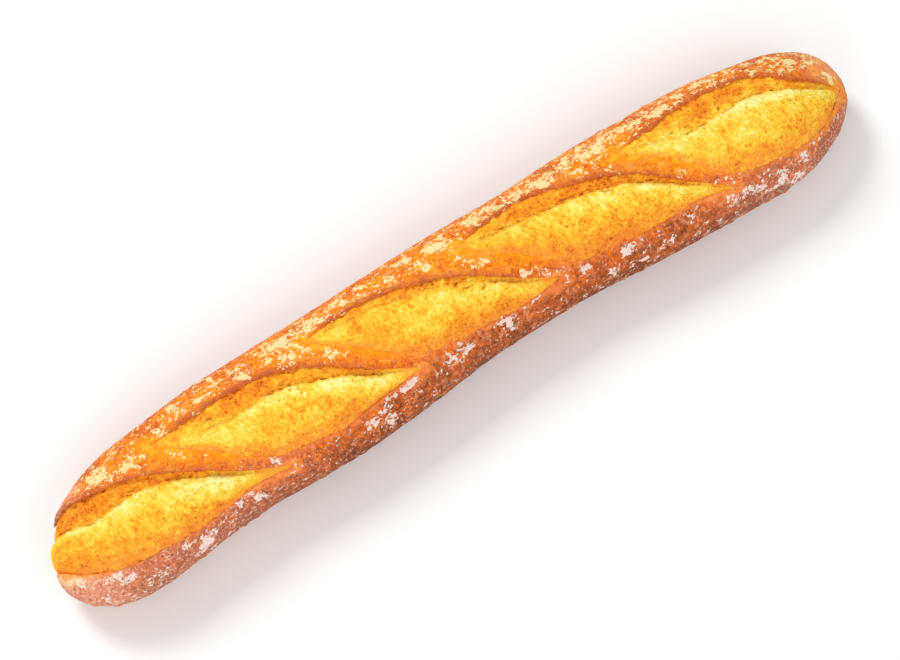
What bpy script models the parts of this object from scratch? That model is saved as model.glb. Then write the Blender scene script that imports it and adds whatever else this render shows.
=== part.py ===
"""Baguette: one closed solid, a long loaf of bread with five slanting cuts that opened in the oven.

The loaf lies along X on its flat underside with its crown up. Each cut starts on the far side (+Y) at
its left end and finishes on the near side (-Y) at its right end. Sizes are in millimetres here and
become metres where the mesh is made.
"""

import bpy
import numpy as np
from mathutils import noise

MM = 0.001

# The body, seen from above: place along the loaf, far edge, near edge and crown height
LENGTH = 476.0
STATIONS = (
    (-238, 29.0, -44.0, 50.0),
    (-190, 34.5, -36.5, 50.5),
    (-140, 38.5, -32.5, 51.5),
    (-90, 39.5, -34.5, 52.5),
    (-40, 39.5, -32.5, 51.5),
    (0, 39.5, -30.0, 52.5),
    (50, 38.5, -30.0, 51.0),
    (100, 38.5, -34.5, 52.0),
    (150, 36.5, -38.0, 51.5),
    (190, 32.5, -40.5, 50.0),
    (238, 36.0, -41.0, 48.0),
)
LEFT_DOME = 54.0
RIGHT_DOME = 68.0

# The cross-section: an upper and a lower half that meet at the widest level, cut flat by the oven floor
WIDEST_LEVEL = 22.0
TIP_LEVEL = 18.0
LOWER_DEPTH = 26.0
UPPER_SQUARENESS = 2.15
LOWER_SQUARENESS = 2.6

# The cuts: left tip and right tip, how far each edge stands off the line between the tips at every sixth
# of its length, and where the crease runs at the left tip, at a third of the length and at the right tip,
# as a share of the opening from its far edge. A tip past the loaf's end lets the opening run over the end.
CUTS = (
    {
        "tips": ((-246, 6.0), (-115, -27.0)),
        "far": (15, 17, 17, 11, 3.5),
        "near": (17.5, 20.5, 17, 11.5, 4),
        "crease": (0.08, 0.36, 0.17),
    },
    {
        "tips": ((-168, 18.0), (-37, -21.5)),
        "far": (6, 12.5, 16, 12.5, 4),
        "near": (12.5, 23, 22, 17, 8.5),
        "crease": (0.28, 0.24, 0.17),
    },
    {
        "tips": ((-80, 20.5), (46, -21.0)),
        "far": (7.5, 13, 13.5, 10.5, 4),
        "near": (10, 21.5, 19.5, 14, 8),
        "crease": (0.20, 0.12, 0.10),
    },
    {
        "tips": ((10, 19.5), (148, -30.5)),
        "far": (10.5, 18.5, 19, 17, 7),
        "near": (11.5, 21, 17, 11.5, 3.5),
        "crease": (0.36, 0.40, 0.12),
    },
    {
        "tips": ((105, 16.5), (229, -14.0)),
        "far": (5.5, 12.5, 16, 16.5, 7.5),
        "near": (13, 29, 30, 26.5, 17.5),
        "crease": (0.38, 0.34, 0.17),
    },
)

# The openings: the ear is the lifted lip on the far side, and the crease runs between the torn slope
# under it and the crumb that swelled out below
EAR_LIFT = 1.9
EAR_REACH = 7.0
NEAR_LIP_DROP = 0.4
NEAR_LIP_REACH = 6.0
EDGE_WIDTH = 1.3
FULL_OPENING = 16.0
EAR_FOOT = -1.3
CREASE_DEPTH = -3.0
CREST_WIDTH = 0.12
CREST_HEIGHT = 0.9
BELLY_HEIGHT = 1.0
NEAR_GROOVE = -0.9

# Unevenness of the crust and tears in the crumb: size of the lumps and how high they stand
LUMPS = ((46.0, 0.7), (17.0, 0.3))
TEARS = (9.0, 0.3)
TEAR_STRETCH = 2.0

# The cuts end where the surface turns to face the floor, by the upward part of its direction
LOWEST_TILT = -0.5
TILT_FADE = 1.0

# The net that is shaped, and the triangles kept
RINGS = 560
SEGMENTS = 216
CROWDING = 0.42
TRIANGLES_KEPT = 11400
FLAT_WITHIN = 0.05

CRUST_COLOUR = (0.62, 0.24, 0.05, 1.0)
CRUST_ROUGHNESS = 0.62


def clear_scene():
    for obj in list(bpy.data.objects):
        bpy.data.objects.remove(obj)


def smooth_curve(at, knots, values):
    """A smooth curve through the knots, read at the places given."""
    knots = np.asarray(knots, float)
    values = np.asarray(values, float)
    slopes = np.gradient(values, knots)
    left = np.clip(np.searchsorted(knots, at) - 1, 0, len(knots) - 2)
    span = knots[left + 1] - knots[left]
    t = np.clip((at - knots[left]) / span, 0, 1)
    start = values[left] * (2 * t**3 - 3 * t**2 + 1) + slopes[left] * span * (t**3 - 2 * t**2 + t)
    finish = values[left + 1] * (3 * t**2 - 2 * t**3) + slopes[left + 1] * span * (t**3 - t**2)
    return start + finish


def smooth_step(value):
    value = np.clip(value, 0, 1)
    return value * value * (3 - 2 * value)


def end_rounding(x):
    """1 along the loaf, falling to 0 at each tip as an ellipse does."""
    into_left = (-x - (LENGTH / 2 - LEFT_DOME)) / LEFT_DOME
    into_right = (x - (LENGTH / 2 - RIGHT_DOME)) / RIGHT_DOME
    into_dome = np.clip(np.maximum(into_left, into_right), 0, 1)
    return np.sqrt(1 - into_dome**2)


def station_values(x):
    """Middle line, half width and crown height at the places given."""
    along, far, near, crown = np.array(STATIONS, float).T
    far = smooth_curve(x, along, far)
    near = smooth_curve(x, along, near)
    return (far + near) / 2, (far - near) / 2, smooth_curve(x, along, crown)


def places_along(share):
    """Turns a share of the way over the loaf, tip to tip along its side, into a place along X."""
    x = -LENGTH / 2 * np.cos(np.linspace(0, np.pi, 4001))
    half = station_values(x)[1] * end_rounding(x)
    walked = np.concatenate([[0], np.cumsum(np.hypot(np.diff(x), np.diff(half)))])
    return np.interp(share, walked / walked[-1], x)


def body_points(x, turn):
    """Points of the plain body. The turn is 0 at the crown and grows towards the far side."""
    middle, half, crown = station_values(x)
    rounding = end_rounding(x)
    level = TIP_LEVEL + (WIDEST_LEVEL - TIP_LEVEL) * rounding
    side, up = np.sin(turn), np.cos(turn)
    y = middle + half * rounding * np.sign(side) * np.abs(side) ** (2 / UPPER_SQUARENESS)
    above = (crown - WIDEST_LEVEL) * rounding * np.abs(up) ** (2 / UPPER_SQUARENESS)
    below = LOWER_DEPTH * rounding * np.abs(up) ** (2 / LOWER_SQUARENESS)
    z = np.where(up > 0, level + above, level - below)
    return np.stack([x, y, z], axis=1)


def lumps(points, size, shift=0.0):
    """Soft noise from about -1 to 1, with lumps of the size given."""
    return np.array([noise.noise(p) for p in points / size + shift])


def opening_profile(across, crease):
    """Height of the torn surface over the plain body, from the ear (0) to the near lip (1)."""
    into_crease = smooth_step(across / crease)
    over_crest = smooth_step((across - crease) / CREST_WIDTH)
    belly = np.sin(np.pi * np.clip((across - crease) / (1 - crease), 0, 1))
    into_groove = smooth_step((across - 0.66) / 0.34)
    height = EAR_FOOT + (CREASE_DEPTH - EAR_FOOT) * into_crease
    height = height + (CREST_HEIGHT - CREASE_DEPTH) * over_crest
    return height + BELLY_HEIGHT * belly + (NEAR_GROOVE - CREST_HEIGHT) * into_groove


def cut_relief(points):
    """How far the cuts move each point out of the plain body, or into it where negative."""
    x, y = points[:, 0], points[:, 1]
    sixths = np.linspace(0, 1, 7)
    tears = TEARS[1] * lumps(points * (TEAR_STRETCH, 1, 1), TEARS[0], shift=31.7)
    relief = np.zeros(len(points))
    for cut in CUTS:
        (x_left, y_left), (x_right, y_right) = cut["tips"]
        along = (x - x_left) / (x_right - x_left)
        line = y_left + (y_right - y_left) * along
        far = line + smooth_curve(along, sixths, (0, *cut["far"], 0))
        near = line - smooth_curve(along, sixths, (0, *cut["near"], 0))
        opening = np.maximum(far - near, 1e-6)
        across = np.clip((far - y) / opening, 0, 1)
        crease = np.interp(along, (0, 1 / 3, 1), cut["crease"])
        torn = opening_profile(across, crease) + tears
        ear = EAR_LIFT * np.exp(-((np.maximum(y - far, 0) / EAR_REACH) ** 2))
        lip = -NEAR_LIP_DROP * np.exp(-((np.maximum(near - y, 0) / NEAR_LIP_REACH) ** 2))
        past_far = smooth_step((far - y) / EDGE_WIDTH + 0.5)
        past_near = smooth_step((y - near) / EDGE_WIDTH + 0.5)
        height = ear + (torn - ear) * past_far
        height = lip + (height - lip) * past_near
        on_cut = (along > 0) & (along < 1)
        relief += np.where(on_cut, smooth_step(opening / FULL_OPENING) * height, 0)
    return relief


def make_loaf(collection):
    bpy.ops.mesh.primitive_uv_sphere_add(segments=SEGMENTS, ring_count=RINGS, radius=1.0)
    loaf = bpy.context.object
    loaf.name = "loaf"
    loaf.data.name = "loaf"
    for holder in loaf.users_collection:
        holder.objects.unlink(loaf)
    collection.objects.link(loaf)
    mesh = loaf.data

    ball = np.empty(len(mesh.vertices) * 3, np.float32)
    mesh.vertices.foreach_get("co", ball)
    ball = ball.reshape(-1, 3).astype(float)
    x = places_along(1 - np.arccos(np.clip(ball[:, 2], -1, 1)) / np.pi)
    turn = np.arctan2(-ball[:, 1], ball[:, 0])
    points = body_points(x, turn - CROWDING * np.sin(turn))

    mesh.vertices.foreach_set("co", points.ravel())
    mesh.update()
    outward = np.empty(len(points) * 3, np.float32)
    mesh.vertex_normals.foreach_get("vector", outward)
    outward = outward.reshape(-1, 3)

    relief = cut_relief(points) * smooth_step((outward[:, 2] - LOWEST_TILT) / TILT_FADE)
    for size, height in LUMPS:
        relief += height * lumps(points, size)
    points = points + outward * relief[:, None]
    points[:, 2] = np.maximum(points[:, 2], 0)

    low, high = points.min(axis=0), points.max(axis=0)
    points[:, :2] -= (low[:2] + high[:2]) / 2
    mesh.vertices.foreach_set("co", (points * MM).ravel())
    mesh.update()
    return loaf


def thin_out(loaf):
    """Keeps the triangles where the form needs them, and lays the underside flat again after that."""
    decimate = loaf.modifiers.new("thin_out", "DECIMATE")
    triangles = sum(len(face.vertices) - 2 for face in loaf.data.polygons)
    decimate.ratio = TRIANGLES_KEPT / triangles
    bpy.ops.object.modifier_apply(modifier="thin_out")
    for vertex in loaf.data.vertices:
        if vertex.co.z < FLAT_WITHIN * MM:
            vertex.co.z = 0
    loaf.data.shade_smooth()


def crust_material():
    material = bpy.data.materials.new("crust")
    material.use_nodes = True
    shader = material.node_tree.nodes["Principled BSDF"]
    shader.inputs["Base Color"].default_value = CRUST_COLOUR
    shader.inputs["Roughness"].default_value = CRUST_ROUGHNESS
    shader.inputs["Metallic"].default_value = 0.0
    return material


def main():
    clear_scene()
    collection = bpy.data.collections.new("baguette")
    bpy.context.scene.collection.children.link(collection)
    loaf = make_loaf(collection)
    thin_out(loaf)
    loaf.data.materials.append(crust_material())


main()
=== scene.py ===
"""The looks of the baguette: floured crust, torn crumb in five cuts, and a floor, light and camera.

Sizes in the tables are millimetres, and angles are degrees. The body and the cuts repeat the named sizes
that the solid is made from, so that every piece lies on the solid.
"""

import itertools
import math

import bpy
import numpy as np
from mathutils import Matrix, Vector, kdtree, noise


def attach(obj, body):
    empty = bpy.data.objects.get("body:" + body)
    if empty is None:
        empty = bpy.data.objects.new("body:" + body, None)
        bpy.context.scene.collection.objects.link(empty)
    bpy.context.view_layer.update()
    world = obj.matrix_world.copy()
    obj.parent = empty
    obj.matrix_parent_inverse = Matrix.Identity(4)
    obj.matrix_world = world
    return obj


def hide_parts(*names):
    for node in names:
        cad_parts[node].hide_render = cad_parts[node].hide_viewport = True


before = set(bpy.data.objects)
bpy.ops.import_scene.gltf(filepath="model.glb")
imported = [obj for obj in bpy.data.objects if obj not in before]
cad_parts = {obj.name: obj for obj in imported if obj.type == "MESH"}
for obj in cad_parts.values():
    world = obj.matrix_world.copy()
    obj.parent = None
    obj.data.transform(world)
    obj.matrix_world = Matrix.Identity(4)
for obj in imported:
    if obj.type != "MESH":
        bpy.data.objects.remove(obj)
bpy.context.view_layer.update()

MM = 0.001

# The body, seen from above: place along the loaf, far edge, near edge and crown height
LENGTH = 476.0
STATIONS = (
    (-238, 29.0, -44.0, 50.0),
    (-190, 34.5, -36.5, 50.5),
    (-140, 38.5, -32.5, 51.5),
    (-90, 39.5, -34.5, 52.5),
    (-40, 39.5, -32.5, 51.5),
    (0, 39.5, -30.0, 52.5),
    (50, 38.5, -30.0, 51.0),
    (100, 38.5, -34.5, 52.0),
    (150, 36.5, -38.0, 51.5),
    (190, 32.5, -40.5, 50.0),
    (238, 36.0, -41.0, 48.0),
)
LEFT_DOME = 54.0
RIGHT_DOME = 68.0
TIP_MARGIN = 0.01
RING_MARGIN = 0.05
WIDEST_LEVEL = 22.0
TIP_LEVEL = 18.0
LOWER_DEPTH = 26.0
UPPER_SQUARENESS = 2.15
LOWER_SQUARENESS = 2.6
SHOULDER_RADIUS = 38.0
LUMPS = ((46.0, 0.7), (17.0, 0.3))

# The cuts: left tip and right tip, how far each edge stands off the line between the tips at every sixth
# of its length, where the crease runs at the left tip, a quarter, the middle and the right tip as a share
# of the opening from its far edge, how strong the ridge beside the crease is and from how far along, and
# how much paler this crumb is than the others
CUTS = (
    {
        "tips": ((-246, 6.0), (-115, -27.0)),
        "far": (17.5, 17.5, 17, 11, 3.5),
        "near": (17.5, 20.5, 17, 11.5, 4),
        "crease": (0.08, 0.36, 0.15, 0.10),
        "ridge": 1.0,
        "ridge_from": -0.4,
        "pale": 0.03,
    },
    {
        "tips": ((-168, 18.0), (-37, -21.5)),
        "far": (6, 12.5, 16, 12.5, 4),
        "near": (12.5, 23, 22, 17, 8.5),
        "crease": (0.36, 0.38, 0.20, 0.13),
        "ridge": 1.0,
        "ridge_from": 0.22,
        "pale": 0.05,
    },
    {
        "tips": ((-80, 20.5), (46, -21.0)),
        "far": (7.5, 13, 13.5, 10.5, 4),
        "near": (10, 21.5, 19.5, 14, 8),
        "crease": (0.22, 0.15, 0.11, 0.10),
        "ridge": 0.25,
        "ridge_from": 0.2,
        "pale": -0.01,
    },
    {
        "tips": ((10, 19.5), (148, -30.5)),
        "far": (10.5, 18.5, 19, 17, 7),
        "near": (11.5, 21, 17, 11.5, 3.5),
        "crease": (0.40, 0.30, 0.17, 0.10),
        "ridge": 1.0,
        "ridge_from": 0.18,
        "pale": 0.0,
    },
    {
        "tips": ((105, 16.5), (229, -14.0)),
        "far": (5.5, 12.5, 16, 16.5, 7.5),
        "near": (13, 29, 30, 26.5, 17.5),
        "crease": (0.42, 0.38, 0.27, 0.13),
        "ridge": 0.8,
        "ridge_from": 0.16,
        "pale": 0.11,
    },
)

# Pale and orange patches of each crumb, where the dough tore or stretched: place, half length along the cut,
# half width across it, and how much paler
CRUMB_PATCHES = (
    (
        (-185, -3, 6, 4, 0.28), (-197, -3, 6, 5, 0.2), (-156, -15, 9, 5, 0.26), (-170, -10, 8, 2.5, 0.2),
        (-142, -19, 8, 2.5, 0.22), (-223, 5, 6, 2.2, 0.16), (-212, 1, 6, 2, 0.2), (-202, -8, 7, 6, 0.08),
        (-213, -12, 11, 6, -0.14), (-194, -13, 3, 4, -0.14), (-157, -24, 8, 4, -0.1), (-172, -1, 8, 3, -0.1),
        (-207, 7, 9, 3, -0.12), (-228, -3, 7, 7, -0.2), (-177, -9, 5, 3, 0.1),
    ),
    (
        (-94, -2, 8, 3.5, 0.24), (-80, -8, 8, 3.5, 0.2), (-70, -11, 7, 3, 0.14), (-110, 2, 8, 2.5, 0.14),
        (-55, -17, 9, 2.5, 0.18), (-125, 7, 6, 2.5, 0.1), (-140, 8, 7, 3, 0.1), (-131, -6, 9, 3, 0.1),
        (-146, 5, 10, 2.5, 0.12), (-78, 0, 8, 2.5, -0.1), (-105, -9, 2, 2, -0.2), (-121, 0, 2.5, 1.8, -0.2),
        (-75, -18, 2.5, 3.5, -0.14), (-121, -9, 4, 2.5, -0.1),
    ),
    (
        (-7, 2, 4, 4, 0.16), (1, -8, 6, 3, 0.18), (-16, -3, 6, 6, 0.12), (-33, 1, 6, 4, 0.1),
        (17, -11, 8, 3.5, 0.18), (36, -18, 6, 2.5, 0.2), (-61, 14, 10, 3, 0.08), (-43, 1, 3, 2.5, -0.2),
        (-54, 10, 2.5, 2, -0.16), (-24, 7, 3, 3, -0.1), (-11, -17, 7, 3.5, -0.12), (12, -18, 7, 3.5, -0.14),
    ),
    (
        (71, 2, 9, 3, 0.26), (86, -2, 8, 3.5, 0.3), (107, -8, 10, 3.5, 0.26), (126, -21, 10, 3.5, 0.12),
        (39, 12, 6, 2.5, 0.28), (53, 6, 6, 2.5, 0.2), (21, 17, 5, 2, 0.14), (97, -18, 4, 5, -0.16),
        (106, -19, 2, 5, -0.14), (56, -7, 10, 5, -0.08), (83, -20, 8, 4, -0.1),
    ),
    (
        (165, 5, 6.5, 3.5, 0.42), (179, 0, 6.5, 2.8, 0.38), (192, -4, 6, 2, 0.36), (206, -7, 6, 2.5, 0.18),
        (140, 7, 8, 2.5, 0.26), (164, -12, 7, 6, 0.14), (123, 6, 6, 3, 0.14), (134, -9, 7, 1.6, 0.16),
        (180, -11, 3.5, 2.5, 0.16), (177, 10, 12, 3, -0.12), (155, -6, 2.5, 2.5, -0.18),
        (196, -20, 9, 8, -0.08), (160, -21, 6, 3, -0.06), (157, 13, 3, 4, -0.08),
    ),
)

# Small hollows in the crumb, darkened brown as painted shade: place, half length along the cut and half width
# across it
CRUMB_HOLLOWS = (
    ((-187, 3.3, 1.5, 0.8), (-213.9, 15, 1.6, 0.6)),
    ((-137.6, 12.3, 1.5, 0.8), (-98.7, 7.4, 1.2, 0.6), (-96.8, 2.1, 1.2, 0.5)),
    ((2.9, -2, 2.0, 0.5), (10.4, -6.2, 0.8, 1.2), (-0.8, 2.5, 0.7, 0.7)),
    ((109.3, -4.7, 4, 0.5), (35.4, 15.8, 2, 0.6), (68.8, 11.4, 1.6, 0.5), (87.9, 1.8, 3.5, 0.4)),
    ((163.6, 8.2, 1.2, 0.8), (144.1, 8.3, 2, 0.7), (193.4, 5.1, 1.4, 0.5), (135, 9.2, 1.2, 0.6)),
)

# The lips of a cut: the ear on the far side is lifted and waves (size, share of its lift), and the near lip
# is lowered. Both fade where the cut is narrow and where the surface turns to face the floor
EAR_LIFT = 1.9
EAR_REACH = 7.0
NEAR_LIP_DROP = 0.4
NEAR_LIP_REACH = 6.0
EAR_WAVE = (9.0, 0.35)
FULL_OPENING = 16.0
LOWEST_TILT = -0.5
TILT_FADE = 1.0

# The torn crumb, as heights over the plain body: under the ear, in the crease and on the crest where there
# is a ridge and where there is none, on the belly, and at the near lip
CRUMB_AT_EAR = -0.1
CREASE_DEPTH = -2.0
PLAIN_CREASE_DEPTH = -0.5
CREASE_WANDER = ((13.0, 0.035), (4.0, 0.018))
RIDGE_RISE = 0.22
CREST_HEIGHT = 0.8
PLAIN_CREST_HEIGHT = 0.1
CREST_WIDTH = 2.8
BELLY_HEIGHT = 1.4
CRUMB_AT_LIP = -0.4
CRUMB_AT_TIP = -0.15
CRUMB_END_DROP = 1.3

# Finer forms of the crumb: their size and how high or deep they are. A strand has a width and a length
STRANDS, STRAND_HEIGHT = (2.4, 9.0), 0.45
FOLDS, FOLD_HEIGHT = 8.0, 0.6
CRAGS, CRAG_HEIGHT = 2.6, 0.65
SWELLS, SWELL_HEIGHT = 6.5, 0.45
BUBBLES, BUBBLE_DEPTH = 3.4, 0.75
PORES, PORE_DEPTH = 1.5, 0.45
WRINKLES, WRINKLE_DEPTH = (15.0, 4.2), 0.45
HOLLOW_DEPTH = 0.9

# How pale the dough is, by the distance past the crease: beside a ridge, and where there is none. The orange
# under the ear is partly painted shade, and the pale crest partly a painted highlight
RIDGED_TONE = ((-7, 0.26), (-1, 0.35), (0.2, 0.54), (1.4, 0.74), (4, 0.70), (8, 0.56), (14, 0.51))
PLAIN_TONE = ((-9, 0.32), (-4, 0.42), (0, 0.53), (6, 0.60), (14, 0.54))
TIP_TONE = 0.58

# The pockets that the crumb sits in, and where their walls begin to stand upright towards the loaf's ends
POCKET_DEPTH = 7.0
POCKET_TOP = 7.0
UNDERCUT = 1.5
UPRIGHT_FROM = 168.0
UPRIGHT_OVER = 26.0
END_FLOOR = 13.0
END_FLOOR_FROM = 204.0
END_FLOOR_WAVE = (5.0, 1.5)
POCKET_STEPS = 240
RAGGED = ((7.0, 0.5), (2.2, 0.25))

# Nets of the crust and of each crumb
CRUST_RINGS = 560
CRUST_COLUMNS = 164
CROWDING = 0.42
CRUMB_SPACING = 0.30
END_RINGS = 90
END_RINGS_OVER = 8.0

# How light the crust is, from dark brown (0) to light orange (1), by the turn round the loaf: partly how well
# baked it is, and partly painted shade, darker on the near side and its lower edge and where the far side
# turns down
BAKED_AND_SHADED = (
    (-180, 0.34), (-120, 0.18), (-96, 0.10), (-78, 0.26), (-58, 0.42), (-36, 0.56), (-15, 0.78), (0, 0.83),
    (24, 0.80), (45, 0.72), (64, 0.62), (88, 0.46), (130, 0.36), (180, 0.38),
)

# Where the crust is rosy, and where the skin beside a near lip is salmon, by the place along the loaf
ROSY = ((-180, 1.0), (-90, 0.05), (120, 0.05), (190, 0.8))
SALMON = ((130, 1.0), (200, 0.35))

# A thin dust of flour, by the turn round the loaf, then flour that lies in main patches: place along the
# loaf, turn from the crown towards the far side, length along the loaf and width round it
FLOUR_DUST = (
    (-180, 0.0), (-110, 0.05), (-92, 0.18), (-75, 0.16), (-40, 0.08), (-20, -0.06), (12, 0.0), (26, 0.34),
    (60, 0.40), (85, 0.30), (130, 0.05),
)
FAR_FLOUR = (
    (-196, 37, 11, 17), (-183, 22, 14, 9), (-160, 33, 6, 6), (-148, 50, 8, 12), (-136, 33, 6, 6),
    (-126, 45, 6, 12), (-112, 43, 9, 7), (-110, 28, 11, 7), (-99, 26, 5, 5), (-89, 42, 13, 14),
    (-86, 23, 16, 8), (-70, 40, 18, 12), (-53, 47, 9, 14), (-39, 49, 6, 10), (-25, 33, 8, 8),
    (-14, 43, 9, 9), (-8, 23, 5, 5), (3, 36, 14, 10), (9, 46, 6, 8), (30, 45, 10, 16), (40, 38, 9, 7),
    (48, 38, 11, 10), (58, 38, 11, 10), (67, 36, 16, 14), (84, 43, 14, 13), (95, 37, 15, 9), (108, 46, 8, 12),
    (122, 42, 13, 12), (138, 38, 14, 10), (148, 32, 15, 6), (153, 45, 9, 12), (167, 48, 12, 9),
    (184, 49, 6, 9), (192, 30, 5, 4), (205, 18, 8, 7), (213, 26, 7, 12), (222, 22, 9, 8),
    (203, 48, 5, 9), (227, -10, 7, 12), (-214, 34, 6, 5), (-206, 27, 7, 4), (-198, 20, 6, 3),
    (44, 38, 8, 8), (54, 40, 8, 7), (37, 46, 9, 8), (50, 33, 8, 5), (62, 43, 9, 8), (26, 40, 8, 7),
)
STRIP_FLOUR = (
    (-159, 6, 6, 5), (-135, -33, 5, 4), (-122, -43, 5, 6), (-70, 8, 9, 9), (8, 11, 5, 5),
    (15, 0, 11, 5), (25, -20, 5, 5), (31, -26, 10, 6), (41, -34, 4, 6), (84, 15, 7, 4), (99, 9, 5, 5),
    (126, -17, 6, 5),
)
NEAR_FLOUR = (
    (-215, -45, 10, 10), (-209, -53, 9, 7), (-229, -30, 5, 12), (-170, -75, 9, 14), (-163, -69, 6, 7),
    (-178, -62, 6, 6), (-144, -58, 10, 6), (-136, -66, 6, 10), (-72, -62, 6, 9), (-62, -70, 7, 10),
    (-56, -49, 9, 5), (-21, -55, 8, 10), (-12, -53, 6, 10), (11, -56, 9, 10), (13, -68, 6, 8),
    (28, -53, 11, 4), (60, -56, 6, 9), (84, -56, 10, 6), (72, -72, 5, 6), (101, -72, 5, 6),
    (107, -69, 5, 6), (91, -78, 4, 5), (120, -61, 6, 6), (144, -60, 5, 8), (154, -64, 10, 7),
    (189, -63, 5, 10), (174, -72, 6, 8), (183, -85, 9, 9), (160, -68, 8, 8), (167, -75, 8, 7),
    (-66, -57, 8, 4), (-49, -50, 9, 4), (-232, -24, 5, 8),
)
PATCH_STRENGTH = 0.88

# Blisters on the crust: how high they stand, and how far apart they can be
BLISTER_HEIGHT = 0.45
BLISTER_SPACING = 8.0

# Loose clots of flour: how many on how much crust where it lies thick, and their size
FLOUR_GRAINS = 7500
FLOURED_SQUARE_METRES = 0.011
GRAIN_SIZE = 0.5

# The camera that took the photograph, worked out from the outline
CAMERA_TURN = -34.3
CAMERA_RISE = 70.0
CAMERA_DISTANCE = 1062.5
CAMERA_TARGET = (-10.97, -7.45, 24.0)
CAMERA_LENS = 85.0

# The lights: name, place, size and power, with the colour of the first. All face one point in the loaf
LIGHTS = (
    ("key", (-0.25, 1.2, 1.35), 0.65, 18.5, (1.0, 0.98, 0.96)),
    ("fill", (0.5, -1.3, 1.0), 1.6, 10.5),
    ("end_fill", (-1.3, -0.9, 0.9), 1.2, 9),
)
LIT_POINT = (0, 0, 0.02)
SKY_STRENGTH = 0.52


def smooth_curve(at, knots, values):
    """A smooth curve through the knots, read at the places given."""
    knots = np.asarray(knots, float)
    values = np.asarray(values, float)
    slopes = np.gradient(values, knots)
    left = np.clip(np.searchsorted(knots, at) - 1, 0, len(knots) - 2)
    span = knots[left + 1] - knots[left]
    t = np.clip((at - knots[left]) / span, 0, 1)
    start = values[left] * (2 * t**3 - 3 * t**2 + 1) + slopes[left] * span * (t**3 - 2 * t**2 + t)
    finish = values[left + 1] * (3 * t**2 - 2 * t**3) + slopes[left + 1] * span * (t**3 - t**2)
    return start + finish


def smooth_step(value):
    value = np.clip(value, 0, 1)
    return value * value * (3 - 2 * value)


def from_table(table, at):
    """The second column of a table, read at places in its first column."""
    return np.interp(at, *np.array(table, float).T)


def mix(first, second, share):
    return first + (second - first) * share


# The plain body

def end_rounding(x):
    """1 along the loaf, falling to 0 at each tip as an ellipse does."""
    into_left = (-x - (LENGTH / 2 - LEFT_DOME)) / LEFT_DOME
    into_right = (x - (LENGTH / 2 - RIGHT_DOME)) / RIGHT_DOME
    into_dome = np.clip(np.maximum(into_left, into_right), 0, 1)
    return np.sqrt(1 - into_dome**2)


def station_values(x):
    """Middle line, half width and crown height at the places given."""
    along, far, near, crown = np.array(STATIONS, float).T
    far = smooth_curve(x, along, far)
    near = smooth_curve(x, along, near)
    return (far + near) / 2, (far - near) / 2, smooth_curve(x, along, crown)


def body_points(x, turn):
    """Points of the plain body. The turn is 0 at the crown and grows towards the far side."""
    middle, half, crown = station_values(x)
    rounding = end_rounding(x)
    level = mix(TIP_LEVEL, WIDEST_LEVEL, rounding)
    side, up = np.sin(turn), np.cos(turn)
    y = middle + half * rounding * np.sign(side) * np.abs(side) ** (2 / UPPER_SQUARENESS)
    above = (crown - WIDEST_LEVEL) * rounding * np.abs(up) ** (2 / UPPER_SQUARENESS)
    below = LOWER_DEPTH * rounding * np.abs(up) ** (2 / LOWER_SQUARENESS)
    z = np.where(up > 0, level + above, level - below)
    return np.stack([x + 0 * y, y, z], axis=-1)


def body_normals(x, turn):
    """Outward directions of the plain body, by small steps to each side."""
    step, turn_step = 0.4, 0.01
    inside = LENGTH / 2 - RING_MARGIN
    ahead, behind = np.minimum(x + step, inside), np.maximum(x - step, -inside)
    lengthwise = body_points(ahead, turn) - body_points(behind, turn)
    crosswise = body_points(x, turn + turn_step) - body_points(x, turn - turn_step)
    outward = np.cross(lengthwise, crosswise)
    return outward / np.maximum(np.linalg.norm(outward, axis=-1, keepdims=True), 1e-9)


def turn_at(x, y):
    """The turn at which the upper side of the body stands over this y."""
    middle, half, _ = station_values(x)
    share = np.clip((y - middle) / np.maximum(half * end_rounding(x), 1e-6), -1, 1)
    return np.arcsin(np.sign(share) * np.abs(share) ** (UPPER_SQUARENESS / 2))


def inside_tips(x):
    return np.clip(x, -LENGTH / 2 + TIP_MARGIN, LENGTH / 2 - TIP_MARGIN)


def turn_of(points):
    """The turn of points on or near the body."""
    x, y, z = points.T
    x = inside_tips(x)
    middle, half, crown = station_values(x)
    rounding = np.maximum(end_rounding(x), 1e-3)
    level = mix(TIP_LEVEL, WIDEST_LEVEL, rounding)
    above, height = z > level, z - level
    side = np.abs(y - middle) / (half * rounding)
    up = np.abs(height) / (np.where(above, crown - WIDEST_LEVEL, LOWER_DEPTH) * rounding)
    squareness = np.where(above, UPPER_SQUARENESS, LOWER_SQUARENESS)
    turn = np.arctan2(side ** (UPPER_SQUARENESS / 2), up ** (squareness / 2))
    return np.sign(y - middle) * np.where(above, turn, np.pi - turn)


def places_along(share):
    """Turns a share of the way over the loaf, tip to tip along its side, into a place along X."""
    x = -LENGTH / 2 * np.cos(np.linspace(0, np.pi, 4001))
    half = station_values(x)[1] * end_rounding(x)
    walked = np.concatenate([[0], np.cumsum(np.hypot(np.diff(x), np.diff(half)))])
    return np.interp(share, walked / walked[-1], x)


# Unevenness

def add_lumps(height, points):
    """Adds the same soft lumps as the solid has."""
    for size, lump_height in LUMPS:
        height = height + lump_height * np.array([noise.noise(point) for point in (points / size).tolist()])
    return height


def soft_noise(points, size, seed):
    """Gradient noise from about -1 to 1, with lumps of the size given, for many points at once."""
    rng = np.random.default_rng(seed)
    slopes = rng.normal(size=(256, 3))
    slopes /= np.linalg.norm(slopes, axis=1, keepdims=True)
    shuffle = rng.permutation(256)
    places = points / size + 113.7
    cells = np.floor(places).astype(int)
    local = places - cells
    fade = local**3 * (local * (local * 6 - 15) + 10)
    total = np.zeros(len(points))
    for corner in itertools.product((0, 1), repeat=3):
        key = cells + corner
        drawn = shuffle[(shuffle[(shuffle[key[:, 0] & 255] + key[:, 1]) & 255] + key[:, 2]) & 255]
        weight = np.prod(np.where(corner, fade, 1 - fade), axis=1)
        total += weight * np.einsum("ij,ij->i", slopes[drawn], local - corner)
    return total * 1.5


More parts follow.
